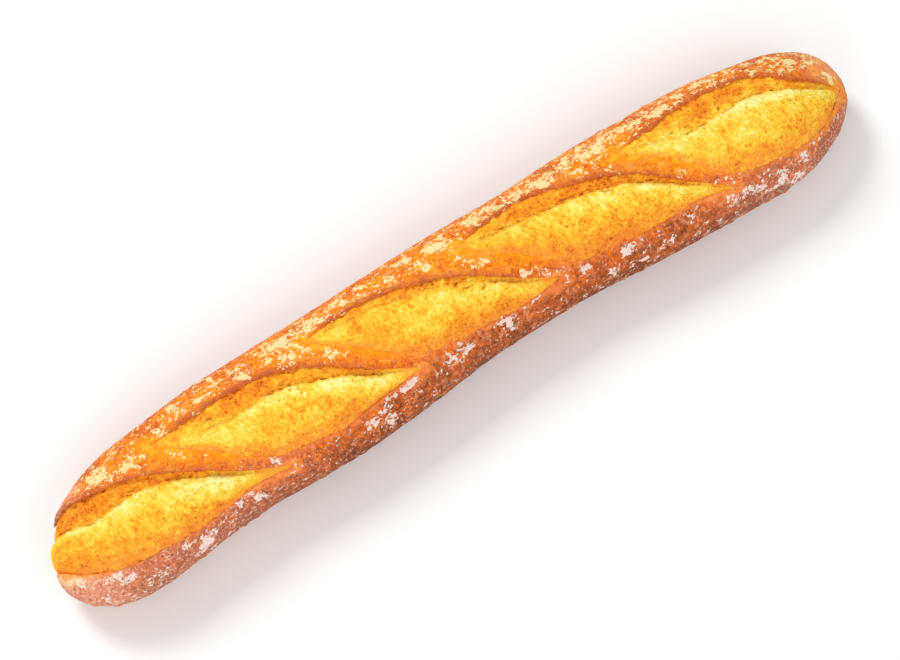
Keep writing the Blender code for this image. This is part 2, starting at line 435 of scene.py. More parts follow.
def layered_noise(points, size, seed, layers=3, keep=0.55):
    """Soft noise with finer and weaker noise laid over it."""
    total, height, reach = np.zeros(len(points)), 1.0, 0.0
    for layer in range(layers):
        total += height * soft_noise(points, size / 2**layer, seed + layer)
        reach += height
        height *= keep
    return total / reach * 1.4


def line_noise(x, size, seed):
    """Soft noise along a line."""
    return soft_noise(np.stack([x, 0 * x, 0 * x], axis=-1), size, seed)


def scattered_cells(flat_points, size, seed):
    """For points in a plane: distance to the nearest scattered centre, in cells, and that centre's draw."""
    rng = np.random.default_rng(seed)
    table = rng.random((256, 3))
    shuffle = rng.permutation(256)
    places = flat_points / size + 71.3
    cells = np.floor(places).astype(int)
    nearest = np.full(len(places), 9.0)
    draw = np.zeros(len(places))
    for across, up in itertools.product((-1, 0, 1), repeat=2):
        key = cells + (across, up)
        drawn = table[shuffle[(shuffle[key[:, 0] & 255] + key[:, 1]) & 255]]
        distance = np.linalg.norm(key + 0.15 + 0.7 * drawn[:, :2] - places, axis=1)
        closer = distance < nearest
        nearest = np.where(closer, distance, nearest)
        draw = np.where(closer, drawn[:, 2], draw)
    return nearest, draw


# The cuts

def cut_edges(cut, x, ragged=False):
    """How far along the cut each x is, and the y of its far and near edge there."""
    (x_left, y_left), (x_right, y_right) = cut["tips"]
    along = (x - x_left) / (x_right - x_left)
    sixths = np.linspace(0, 1, 7)
    line = y_left + (y_right - y_left) * along
    far = line + smooth_curve(along, sixths, (0, *cut["far"], 0))
    near = line - smooth_curve(along, sixths, (0, *cut["near"], 0))
    if ragged:
        opened = smooth_step((far - near) / FULL_OPENING)
        for number, (size, depth) in enumerate(RAGGED):
            far = far + depth * opened * line_noise(x, size, 11 + number)
            near = near + depth * opened * line_noise(x, size, 21 + number)
    return along, far, near


def opened_at(along, far, near):
    """0 at the tips of a cut, 1 where it is well open."""
    return np.where((along > 0) & (along < 1), smooth_step((far - near) / FULL_OPENING), 0)


def crust_relief(x, y):
    """How far the lips of the cuts lift or lower the crust."""
    relief = np.zeros(len(x))
    wave_size, wave = EAR_WAVE
    for cut in CUTS:
        along, far, near = cut_edges(cut, x)
        ear = EAR_LIFT * np.exp(-((np.maximum(y - far, 0) / EAR_REACH) ** 2))
        ear = ear + wave * ear * line_noise(x + y, wave_size, 31)
        lip = -NEAR_LIP_DROP * np.exp(-((np.maximum(near - y, 0) / NEAR_LIP_REACH) ** 2))
        across = np.clip((far - y) / np.maximum(far - near, 1e-6), 0, 1)
        relief += opened_at(along, far, near) * mix(ear, lip, smooth_step(across * 1.6 - 0.3))
    return relief * mix(0.4, 1.0, end_rounding(x))


def patches_on(cut, x, y, patches):
    """For each patch that lies along the cut: 1 at its middle, falling to 0 round it, with wavy edges."""
    (x_left, y_left), (x_right, y_right) = cut["tips"]
    lean = math.atan2(y_right - y_left, x_right - x_left)
    flat_points = np.stack([x, y, 0 * x], axis=-1)
    wave_along, wave_across = (1.5 * soft_noise(flat_points, 4.0, seed) for seed in (91, 92))
    for place_x, place_y, length, width, *_ in patches:
        along = (x - place_x) * math.cos(lean) + (y - place_y) * math.sin(lean) + wave_along
        across = (y - place_y) * math.cos(lean) - (x - place_x) * math.sin(lean) + 0.6 * wave_across
        yield np.exp(-((along / length) ** 2) - (across / width) ** 2)


def stretched_noise(first, second, sizes, level, seed):
    """Soft noise in a plane, with a size of its own in each direction."""
    return soft_noise(np.stack([first / sizes[0], second / sizes[1], 0 * first + level], axis=-1), 1.0, seed)


def torn_forms(points, seed, across, past_crease, ridge):
    """The finer forms of torn dough, each from 0 or -1 to 1 over the points."""
    x, y = points[:, 0], points[:, 1]
    in_plane = np.stack([x + 0.35 * y, y], axis=-1)
    near_crease = np.exp(-((past_crease / 4.5) ** 2))
    beside_crease = np.exp(-(((past_crease - 1.5) / 6.5) ** 2))
    strands = (1 - np.abs(stretched_noise(in_plane[:, 0], y, STRANDS, 0, seed + 4))) ** 2 - 0.5
    towards_near = smooth_step(past_crease / 4) * (1 - 0.75 * smooth_step((across - 0.55) / 0.4))
    folds = layered_noise(points * (0.75, 1.0, 1.0), FOLDS, seed + 5, layers=2)
    crags = layered_noise(points * (0.8, 1.0, 1.0), CRAGS, seed + 9, layers=3, keep=0.7)

    distance, draw = scattered_cells(in_plane, BUBBLES, seed + 6)
    bubbles = np.where(draw < 0.07 + 0.25 * near_crease * ridge, smooth_step((0.34 - distance) / 0.24), 0)
    distance, draw = scattered_cells(in_plane, PORES, seed + 7)
    busy = 0.5 + 0.9 * soft_noise(points, 9.0, seed + 10)
    chance = 0.08 * busy + 0.12 * np.exp(-((past_crease + 1.5) ** 2) / 10) + 0.10 * busy * (past_crease < 0)
    pores = np.where(draw < chance, smooth_step((0.42 - distance) / 0.26), 0)
    distance, draw = scattered_cells(in_plane, SWELLS, seed + 8)
    swells = np.where(draw < 0.3, smooth_step((0.45 - distance) / 0.4), 0)

    folded = stretched_noise(x * 0.96 - y * 0.28, y * 0.96 + x * 0.28, WRINKLES, seed, seed + 12)
    wrinkles = (1 - smooth_step(np.abs(folded) / 0.09)) * beside_crease * ridge
    return strands, towards_near, folds, crags, bubbles, pores, swells, wrinkles


def crumb_shape(number, points, seed):
    """Height of the torn crumb over the body, with the masks that its colours need."""
    cut = CUTS[number - 1]
    x, y = points[:, 0], points[:, 1]
    along, far, near = cut_edges(cut, x)
    opening = np.maximum(far - near, 1e-3)
    across = (far - y) / opening
    opened = opened_at(along, far, near)
    ridge = cut["ridge"] * smooth_step((along - cut["ridge_from"]) / RIDGE_RISE)
    crease = np.interp(along, (0, 1 / 4, 1 / 2, 1), cut["crease"])
    for step, (size, wander) in enumerate(CREASE_WANDER):
        crease = crease + wander * line_noise(x, size, seed + step)
    past_crease = (across - crease) * opening
    slope = np.clip(across / np.maximum(crease, 0.02), 0, 1)
    crest_width = CREST_WIDTH * (1 + 0.35 * line_noise(x, 11.0, seed + 2))
    crest = smooth_step(past_crease / crest_width)
    belly = np.sin(np.pi * np.clip((across - crease) / np.maximum(1 - crease, 0.1), 0, 1))
    into_lip = smooth_step((across - 0.6) / 0.4)
    strands, towards_near, folds, crags, bubbles, pores, swells, wrinkles = torn_forms(
        points, seed, across, past_crease, ridge
    )

    bottom = mix(PLAIN_CREASE_DEPTH, CREASE_DEPTH, ridge)
    top = mix(PLAIN_CREST_HEIGHT, CREST_HEIGHT, ridge)
    height = mix(CRUMB_AT_EAR, bottom, slope ** 1.3)
    height = height + (top - bottom) * crest * (1 + 0.25 * line_noise(x, 16.0, seed + 3))
    height = height + BELLY_HEIGHT * belly * end_rounding(x) + (CRUMB_AT_LIP - top) * into_lip
    relief = STRAND_HEIGHT * strands * towards_near + FOLD_HEIGHT * folds * (1 - 0.5 * into_lip)
    relief = relief + CRAG_HEIGHT * crags
    relief = relief + SWELL_HEIGHT * swells * (1 - into_lip)
    relief = relief - WRINKLE_DEPTH * wrinkles
    relief = relief * mix(0.35, 1.0, smooth_step((end_rounding(x) - 0.3) / 0.5))
    height = height + relief - BUBBLE_DEPTH * bubbles - PORE_DEPTH * pores
    hollow = sum(patches_on(cut, x, y, CRUMB_HOLLOWS[number - 1]))
    height = height - HOLLOW_DEPTH * hollow
    height = mix(CRUMB_AT_TIP + 0.25 * crags, height, opened)
    height = height - CRUMB_END_DROP * (1 - end_rounding(np.minimum(x, 0)))

    # How pale the dough is: orange under the ear, partly painted shade, pale on the crest, partly a painted
    # highlight, golden below and orange at the near lip
    tone = mix(from_table(PLAIN_TONE, past_crease), from_table(RIDGED_TONE, past_crease), ridge)
    patches = CRUMB_PATCHES[number - 1]
    tone = tone + sum(patch[4] * spread for patch, spread in zip(patches, patches_on(cut, x, y, patches)))
    tone = tone + cut["pale"] - 0.14 * smooth_step((across - 0.60) / 0.36)
    # Painted light and shade: the dough is made lighter on its raised relief and darker in bubbles, pores and
    # wrinkles
    tone = tone + 0.16 * layered_noise(points, 12.0, seed + 11, layers=2) + 0.14 * relief
    tone = tone + 0.12 * strands * towards_near
    tone = tone - 0.14 * np.maximum(0.8 * bubbles, pores) - 0.12 * wrinkles
    tone = mix(TIP_TONE + 0.15 * crags, tone, mix(0.3, 1.0, opened))
    return height, {
        "tone": tone,
        "past_crease": np.clip(past_crease, -9, 40),
        "opened": opened,
        "tip": 1 - opened * smooth_step((cut["tips"][1][0] - x) / 10),
        "hollow": np.clip(hollow, 0, 1),
        "lip": smooth_step((across - 0.74) / 0.26) * opened,
    }


# Meshes

def new_object(name, points, faces):
    """An object at the origin with smooth faces, from points in millimetres."""
    mesh = bpy.data.meshes.new(name)
    mesh.from_pydata((np.asarray(points) * MM).tolist(), [], faces)
    mesh.update()
    mesh.shade_smooth()
    obj = bpy.data.objects.new(name, mesh)
    bpy.context.scene.collection.objects.link(obj)
    return obj


def closed_tube_faces(rings, columns):
    """Quads between rings of points, closed round and open at both ends."""
    ring, column = np.meshgrid(np.arange(rings - 1), np.arange(columns), indexing="ij")
    here = ring * columns + column
    beside = ring * columns + (column + 1) % columns
    quads = np.stack([here, here + columns, beside + columns, beside], axis=-1).reshape(-1, 4)
    return quads.tolist()


def tube(name, x_rings, turns, height_of):
    """A closed body along X: rings of points, moved out by height_of, with a point at each end."""
    x = np.repeat(x_rings, len(turns))
    turn = np.tile(turns, len(x_rings))
    plain = body_points(x, turn)
    outward = body_normals(x, turn)
    points = plain + outward * height_of(x, turn, plain, outward)[:, None]
    points[:, 2] = np.maximum(points[:, 2], 0)
    columns = len(turns)
    faces = closed_tube_faces(len(x_rings), columns)
    ends = [points[:columns].mean(axis=0), points[-columns:].mean(axis=0)]
    first, last = len(points), len(points) + 1
    start_of_last = len(points) - columns
    for column in range(columns):
        following = (column + 1) % columns
        faces.append((first, column, following))
        faces.append((last, start_of_last + following, start_of_last + column))
    return new_object(name, np.concatenate([points, ends]), faces)


def pocket_cutter(number, cut):
    """The space of one opening, with ragged edges, from under the crumb to above the crust."""
    (x_left, _), (x_right, _) = cut["tips"]
    shares = (1 - np.cos(np.linspace(0.03, np.pi - 0.03, POCKET_STEPS))) / 2
    x = x_left + (x_right - x_left) * shares
    _, far, near = cut_edges(cut, x, ragged=True)
    over_body = np.clip(x, 1 - LENGTH / 2, LENGTH / 2 - 3)
    upright = smooth_step((np.abs(x) - UPRIGHT_FROM) / UPRIGHT_OVER)[:, None]
    at_left_end = smooth_step((-x - END_FLOOR_FROM) / 20)
    undercut = UNDERCUT * smooth_step((far - near) / FULL_OPENING)
    depth = POCKET_DEPTH * smooth_step((far - near) / 6.0 + 0.25)
    wave_size, wave = END_FLOOR_WAVE
    across = np.linspace(0, 1, 6)
    rings = []
    for share, top in [(share, True) for share in across[::-1]] + [(share, False) for share in across]:
        y = mix(far, near, share) if top else mix(far + undercut, near - undercut * 0.3, share)
        turn = turn_at(over_body, y)
        outward = body_normals(over_body, turn) * (0, 1, 1)
        outward = outward / np.linalg.norm(outward, axis=1, keepdims=True)
        outward = mix(outward, np.array((0.0, 0.0, 1.0)), upright)
        point = body_points(over_body, turn)
        point[:, 0] = x
        point[:, 1] = mix(point[:, 1], y, upright[:, 0])
        if top:
            point = point + outward * POCKET_TOP
        else:
            point = point - outward * depth[:, None]
            point[:, 2] = mix(point[:, 2], END_FLOOR + wave * line_noise(y, wave_size, 41), at_left_end)
        rings.append(point)
    rings = np.stack(rings, axis=1)
    columns = rings.shape[1]
    points = rings.reshape(-1, 3)
    faces = closed_tube_faces(len(x), columns)
    faces.append(tuple(range(columns)))
    faces.append(tuple(range(len(points) - columns, len(points)))[::-1])
    return new_object(f"pocket_{number}", points, faces)


def plain_mesh_of(obj):
    """Makes the object's mesh what its modifiers leave of it, and removes the modifiers."""
    graph = bpy.context.evaluated_depsgraph_get()
    mesh = bpy.data.meshes.new_from_object(obj.evaluated_get(graph))
    obj.modifiers.clear()
    old = obj.data
    obj.data = mesh
    bpy.data.meshes.remove(old)


def boolean(obj, other, operation):
    modifier = obj.modifiers.new(operation.lower(), "BOOLEAN")
    modifier.operation = operation
    modifier.solver = "MANIFOLD"
    modifier.object = other


def points_of(obj):
    """The object's points, in millimetres."""
    places = np.empty(len(obj.data.vertices) * 3, np.float32)
    obj.data.vertices.foreach_get("co", places)
    return places.reshape(-1, 3).astype(float) / MM


def set_points(obj, points):
    obj.data.vertices.foreach_set("co", (points * MM).astype(np.float32).ravel())
    obj.data.update()


def store(obj, values):
    """Keeps a number for each point, for the materials to read."""
    for name, numbers in values.items():
        layer = obj.data.attributes.new(name, "FLOAT", "POINT")
        layer.data.foreach_set("value", np.asarray(numbers, np.float32))


def nearest_points(source, target):
    """For each target point, the number of the source point nearest to it."""
    tree = kdtree.KDTree(len(source))
    for number, point in enumerate(source.tolist()):
        tree.insert(point, number)
    tree.balance()
    return np.array([tree.find(point)[1] for point in target.tolist()])


# Node trees

def node_maker(tree):
    """A short way to add a node: its kind, values for its named settings, and inputs by place or name."""
    def make(kind, inputs=None, **settings):
        node = tree.nodes.new(kind)
        for key, value in settings.items():
            setattr(node, key, value)
        for key, value in (inputs or {}).items():
            socket = node.inputs[key]
            if isinstance(value, bpy.types.NodeSocket):
                tree.links.new(value, socket)
            else:
                socket.default_value = value
        return node
    return make


def link(value, socket):
    socket.id_data.links.new(value, socket)


def new_group(name, kind, inputs, outputs):
    """An empty node group with named sockets, its node maker, and the sockets of its two ends."""
    group = bpy.data.node_groups.new(name, kind)
    for label, socket_kind, *default in inputs:
        socket = group.interface.new_socket(label, in_out="INPUT", socket_type=f"NodeSocket{socket_kind}")
        if default:
            socket.default_value = default[0]
    for label, socket_kind in outputs:
        group.interface.new_socket(label, in_out="OUTPUT", socket_type=f"NodeSocket{socket_kind}")
    given = group.nodes.new("NodeGroupInput").outputs
    out = group.nodes.new("NodeGroupOutput").inputs
    return group, node_maker(group), given, out


def math_node(make, operation, first, second):
    return make("ShaderNodeMath", {0: first, 1: second}, operation=operation).outputs[0]


def times(make, first, second):
    return math_node(make, "MULTIPLY", first, second)


def plus(make, first, second):
    return math_node(make, "ADD", first, second)


def per_metre(make, size):
    """How many lumps of a size in millimetres lie side by side in a metre."""
    if isinstance(size, bpy.types.NodeSocket):
        return math_node(make, "DIVIDE", 1 / MM, size)
    return 1 / MM / size


# Geometry Nodes

def add_tree(obj, tree, values):
    """Puts a node tree on the object and sets its inputs by their names."""
    modifier = obj.modifiers.new(tree.name, "NODES")
    modifier.node_group = tree
    for item in tree.interface.items_tree:
        if item.item_type == "SOCKET" and item.in_out == "INPUT" and item.name in values:
            modifier[item.identifier] = values[item.name]


def end_tree(make, geometry, given, out):
    """Ends a tree: instances become real, and everything gets the material."""
    real = make("GeometryNodeRealizeInstances", {0: geometry}).outputs[0]
    painted = make("GeometryNodeSetMaterial", {"Geometry": real, "Material": given["Material"]}).outputs[0]
    link(painted, out["Geometry"])


def fine_relief_tree():
    """Moves the surface in and out by two sizes of noise, as baked dough is never smooth."""
    tree, make, given, out = new_group(
        "fine_relief",
        "GeometryNodeTree",
        (
            ("Geometry", "Geometry"), ("Coarse Size", "Float", 3.0), ("Coarse Height", "Float", 0.2),
            ("Fine Size", "Float", 1.0), ("Fine Height", "Float", 0.1), ("Seed", "Float", 1.0),
            ("Material", "Material"),
        ),
        (("Geometry", "Geometry"),),
    )
    place = make("GeometryNodeInputPosition").outputs[0]
    normal = make("GeometryNodeInputNormal").outputs[0]
    heights = []
    for word in ("Coarse", "Fine"):
        grain = make(
            "ShaderNodeTexNoise",
            {
                "Vector": place, "W": given["Seed"], "Scale": per_metre(make, given[f"{word} Size"]),
                "Detail": 2.0, "Roughness": 0.5,
            },
            noise_dimensions="4D",
        ).outputs[0]
        heights.append(times(make, plus(make, grain, -0.5), given[f"{word} Height"]))
    above_floor = make("ShaderNodeSeparateXYZ", {0: place}).outputs[2]
    off_floor = make(
        "ShaderNodeMapRange", {"Value": above_floor, "From Min": 0.5 * MM, "From Max": 4 * MM}, clamp=True
    ).outputs[0]
    height = times(make, plus(make, *heights), off_floor)
    in_metres = times(make, height, 2 * MM)
    move = make("ShaderNodeVectorMath", {0: normal, "Scale": in_metres}, operation="SCALE").outputs[0]
    moved = make("GeometryNodeSetPosition", {"Geometry": given["Geometry"], "Offset": move}).outputs[0]
    end_tree(make, moved, given, out)
    return tree


def flour_grain_tree():
    """Scatters small clots of flour where the crust's flour is thick."""
    tree, make, given, out = new_group(
        "flour_grains",
        "GeometryNodeTree",
        (
            ("Geometry", "Geometry"), ("Grains per Square Metre", "Float", 1e6),
            ("Grain Size", "Float", 0.0004), ("Seed", "Int", 1), ("Material", "Material"),
        ),
        (("Geometry", "Geometry"),),
    )
    thick = make("GeometryNodeInputNamedAttribute", {"Name": "grain_chance"}, data_type="FLOAT").outputs[0]
    density = times(make, thick, given["Grains per Square Metre"])
    spread = make(
        "GeometryNodeDistributePointsOnFaces",
        {"Mesh": given["Geometry"], "Density": density, "Seed": given["Seed"]},
    ).outputs["Points"]
    clot = make("GeometryNodeMeshIcoSphere", {"Radius": 0.5, "Subdivisions": 1}).outputs[0]
    turn, stretch = (
        make(
            "FunctionNodeRandomValue",
            {"Min": low, "Max": high, "Seed": given["Seed"]},
            data_type="FLOAT_VECTOR",
        ).outputs[0]
        for low, high in (((0, 0, 0), (6.28, 6.28, 6.28)), ((0.5, 0.5, 0.3), (1.9, 1.4, 0.8)))
    )
    scale = make(
        "ShaderNodeVectorMath", {0: stretch, "Scale": given["Grain Size"]}, operation="SCALE"
    ).outputs[0]
    placed = make(
        "GeometryNodeInstanceOnPoints", {"Points": spread, "Instance": clot, "Rotation": turn, "Scale": scale}
    ).outputs[0]
    end_tree(make, placed, given, out)
    return tree


# Shaders

def srgb(red, green, blue):
    """A colour as the eye names it, 0 to 255, in the linear values that a shader takes."""
    shares = np.array([red, green, blue]) / 255
    linear = np.where(shares <= 0.04045, shares / 12.92, ((shares + 0.055) / 1.055) ** 2.4)
    return (*linear.tolist(), 1.0)


def ramp(make, value, stops):
    """Colours along a scale from 0 to 1."""
    node = make("ShaderNodeValToRGB", {0: value})
    elements = node.color_ramp.elements
    for element, (place, color) in zip((elements[0], elements[1]), (stops[0], stops[-1])):
        element.position, element.color = place, srgb(*color)
    for place, color in stops[1:-1]:
        elements.new(place).color = srgb(*color)
    return node.outputs[0]


def attribute(make, name):
    return make("ShaderNodeAttribute", attribute_name=name).outputs["Fac"]


def ranged(make, value, low, high, to_low=0.0, to_high=1.0):
    """The value turned from one range into another, softly, and kept inside it."""
    return make(
        "ShaderNodeMapRange",
        {"Value": value, "From Min": low, "From Max": high, "To Min": to_low, "To Max": to_high},
        interpolation_type="SMOOTHSTEP",
    ).outputs[0]


def blend(make, share, first, second):
    """The first colour where the share is 0, the second where it is 1."""
    return make("ShaderNodeMix", {0: share, 6: first, 7: second}, data_type="RGBA").outputs[2]


def cloud(make, vector, size, detail=3.0, roughness=0.55, distortion=0.0):
    """Noise with lumps of the size given in millimetres."""
    return make(
        "ShaderNodeTexNoise",
        {
            "Vector": vector, "Scale": per_metre(make, size), "Detail": detail, "Roughness": roughness,
            "Distortion": distortion,
        },
    ).outputs[0]


def wander(make, vector, size, width, detail=3.0, roughness=0.55):
    """A shift to either side, which makes the edge of a mask uneven."""
    return times(make, plus(make, cloud(make, vector, size, detail, roughness), -0.5), width)


def group_node(make, group, **inputs):
    """A node group placed in a material, with a value or a link for each input that is named."""
    named = {label.replace("_", " "): value for label, value in inputs.items()}
    return make("ShaderNodeGroup", named, node_tree=group).outputs


def bumped(make, shader, heights):
    """Lays bumps over one another: each is a height, a depth in millimetres and a strength."""
    inputs = {}
    for height, depth, strength in heights:
        inputs |= {"Height": height, "Distance": depth * MM, "Strength": strength}
        inputs["Normal"] = make("ShaderNodeBump", inputs).outputs[0]
    link(inputs["Normal"], shader.inputs["Normal"])


def new_material(name, **values):
    """A material with its node maker and its Principled shader, with values for the shader's sockets."""
    material = bpy.data.materials.new(name)
    material.use_nodes = True
    shader = material.node_tree.nodes["Principled BSDF"]
    for label, value in values.items():
        shader.inputs[label.replace("_", " ")].default_value = value
    return material, node_maker(material.node_tree), shader


def uneven_group():
    """Uneven baking: a shift of tone made of broad clouds, patches and fine grain."""
    group, make, given, out = new_group(
        "uneven_baking",
        "ShaderNodeTree",
        (
            ("Vector", "Vector"), ("Cloud Size", "Float", 14.0), ("Cloud Swing", "Float", 0.3),
            ("Patch Size", "Float", 3.5), ("Patch Swing", "Float", 0.4), ("Grain Size", "Float", 1.2),
            ("Grain Swing", "Float", 0.3),
        ),
        (("Shift", "Float"), ("Patch", "Float"), ("Grain", "Float")),
    )
    total = None
    for word, detail, distortion in (("Cloud", 2.0, 0.0), ("Patch", 3.0, 0.8), ("Grain", 3.0, 0.3)):
        unevenness = cloud(make, given["Vector"], given[f"{word} Size"], detail, 0.6, distortion)
        swing = times(make, plus(make, unevenness, -0.5), given[f"{word} Swing"])
        total = swing if total is None else plus(make, total, swing)
        if word != "Cloud":
            link(unevenness, out[word])
    link(total, out["Shift"])
    return group


def flour_group():
    """Flour lying on a surface: it covers where its thickness beats two sizes of noise."""
    group, make, given, out = new_group(
        "flour_dust",
        "ShaderNodeTree",
        (
            ("Vector", "Vector"), ("Color", "Color"), ("Flour Color", "Color"), ("Thickness", "Float", 0.0),
            ("Clump Size", "Float", 5.0), ("Speck Size", "Float", 1.8),
        ),
        (("Color", "Color"), ("Cover", "Float")),
    )
    total = given["Thickness"]
    for word, swing, detail in (("Clump", 1.9, 1.0), ("Speck", 2.0, 1.5)):
        grain = cloud(make, given["Vector"], given[f"{word} Size"], detail, 0.6, 0.7)
        total = plus(make, total, times(make, plus(make, grain, -0.5), swing))
    thin = ranged(make, cloud(make, given["Vector"], 0.7, 2.0), 0.3, 0.6, 0.6, 1.0)
    cover = times(make, ranged(make, total, 0.52, 0.75), thin)
    link(blend(make, cover, given["Color"], given["Flour Color"]), out["Color"])
    link(cover, out["Cover"])
    return group


def pore_group():
    """Small open pores, as dark dots of mixed size: the dark colour is painted shade inside each pore."""
    group, make, given, out = new_group(
        "open_pores",
        "ShaderNodeTree",
        (
            ("Vector", "Vector"), ("Color", "Color"), ("Pore Color", "Color"), ("Pore Size", "Float", 1.5),
            ("Pore Amount", "Float", 0.55),
        ),
        (("Color", "Color"), ("Pore", "Float")),
    )
    cells = make(
        "ShaderNodeTexVoronoi",
        {"Vector": given["Vector"], "Scale": per_metre(make, given["Pore Size"]), "Randomness": 1.0},
    ).outputs
    dot = ranged(make, cells["Distance"], 0.36, 0.10)
    draw = make("ShaderNodeSeparateColor", {0: cells["Color"]}).outputs[0]
    pore = times(make, times(make, dot, ranged(make, draw, 0.62, 0.9)), given["Pore Amount"])
    link(blend(make, pore, given["Color"], given["Pore Color"]), out["Color"])
    link(pore, out["Pore"])
    return group


# Colours along the scales from dark (0) to light (1), as the eye names them, 0 to 255
CRUST_TONES = (
    (0.0, (104, 50, 26)), (0.2, (144, 72, 34)), (0.4, (188, 90, 38)), (0.56, (219, 101, 30)),
    (0.74, (241, 130, 18)), (0.92, (251, 156, 34)), (1.0, (253, 172, 48)),
)
END_TONES = ((0.0, (206, 118, 88)), (0.3, (248, 168, 130)), (0.6, (255, 200, 160)), (1.0, (255, 228, 196)))
CRUMB_TONES = (
    (0.0, (204, 100, 34)), (0.2, (238, 138, 40)), (0.38, (251, 164, 46)), (0.54, (253, 190, 54)),
    (0.68, (254, 210, 70)), (0.84, (255, 227, 98)), (1.0, (255, 242, 150)),
)
GRAIN_TONES = ((0.2, (238, 208, 170)), (0.5, (248, 228, 190)), (0.8, (252, 240, 214)))
FLOUR_CREAM = srgb(251, 230, 166)
FLOUR_WHITE = srgb(246, 224, 212)


def crust_material(uneven, flour, pores):
    material, make, shader = new_material("baked_crust", Specular_IOR_Level=0.03)
    place = make("ShaderNodeTexCoord").outputs["Object"]
    to_ear, to_lip, near_side, rosy, salmon = (
        attribute(make, name) for name in ("to_ear", "to_lip", "near_side", "rosy", "salmon")
    )
    baked = group_node(
        make, uneven, Vector=place, Cloud_Size=16.0, Cloud_Swing=0.6, Patch_Size=3.8, Patch_Swing=1.1,
        Grain_Size=1.3, Grain_Swing=0.8,
    )
    # The stored baked tone is partly painted shade: darker on the near side and where the sides turn down
    tone = plus(make, attribute(make, "baked"), baked["Shift"])
    tones, end_tones = ramp(make, tone, CRUST_TONES), ramp(make, tone, END_TONES)
    color = blend(make, attribute(make, "end_tint"), tones, end_tones)
    color = blend(make, attribute(make, "blister"), color, srgb(236, 156, 108))
    color = blend(make, times(make, rosy, 0.42), color, srgb(214, 138, 116))

    # Short pale strokes where the skin stretched, across the loaf
    leaning = {"Vector": place, "Scale": (1.0, 0.4, 0.4), "Rotation": (0.0, 0.0, 0.5)}
    across = make("ShaderNodeMapping", leaning).outputs[0]
    strokes = ranged(make, cloud(make, across, 1.9, 3.0, 0.65, 0.8), 0.56, 0.65)
    strokes = times(make, strokes, ranged(make, near_side, 0.0, 1.0, 0.05, 0.62))
    color = blend(make, strokes, color, srgb(230, 158, 118))

    # Fine pale and dark specks, strongest where the crust is rosy
    specks = cloud(make, place, 1.7, 2.0, 0.6, 0.6)
    amount = ranged(make, rosy, 0.0, 1.0, 0.15, 0.7)
    color = blend(make, times(make, ranged(make, specks, 0.56, 0.66), amount), color, srgb(248, 206, 172))
    color = blend(make, times(make, ranged(make, specks, 0.45, 0.35), amount), color, srgb(160, 84, 56))

    # The thin skin beside a near lip is light: golden, and paler at the very edge
    golden = plus(make, plus(make, to_lip, wander(make, place, 4.0, 13.0, 4.0, 0.65)), near_side)
    skin = blend(make, salmon, srgb(250, 142, 22), srgb(242, 134, 68))
    color = blend(make, times(make, ranged(make, golden, 5.0, 0.4), 0.85), color, skin)
    skin = blend(make, salmon, srgb(253, 186, 48), srgb(252, 160, 78))
    color = blend(make, times(make, ranged(make, golden, 1.8, -1.6), 0.8), color, skin)

    # The crust reddens towards an ear, whose edge is scorched
    scorch = ranged(make, plus(make, to_ear, wander(make, place, 2.5, 2.6)), 2.8, 0.5)
    scorch = times(make, scorch, ranged(make, cloud(make, place, 4.5, 3.0), 0.36, 0.6, 0.25, 1.0))
    reddened = ranged(make, plus(make, to_ear, wander(make, place, 6.0, 9.0, 2.0)), 8.0, 1.0)
    color = blend(make, times(make, reddened, 0.5), color, srgb(206, 102, 54))
    color = blend(make, times(make, scorch, 0.8), color, srgb(190, 92, 58))
    color = blend(make, attribute(make, "wall"), color, srgb(236, 140, 54))
    # The pores' dark dots are painted shade in the crust's pits
    pitted = group_node(
        make, pores, Vector=place, Color=color, Pore_Color=srgb(132, 58, 26), Pore_Size=2.1, Pore_Amount=0.5
    )
    dusted = group_node(
        make, flour, Vector=place, Color=pitted["Color"], Thickness=attribute(make, "flour"),
        Flour_Color=blend(make, near_side, FLOUR_CREAM, FLOUR_WHITE),
    )
    link(dusted["Color"], shader.inputs["Base Color"])
    link(ranged(make, dusted["Cover"], 0.0, 1.0, 0.5, 0.95), shader.inputs["Roughness"])
    bumped(make, shader, (
        (baked["Patch"], 1.2, 0.65),
        (baked["Grain"], 0.6, 0.6),
        (pitted["Pore"], -0.3, 0.6),
        (dusted["Cover"], 0.3, 0.7),
    ))
    return material


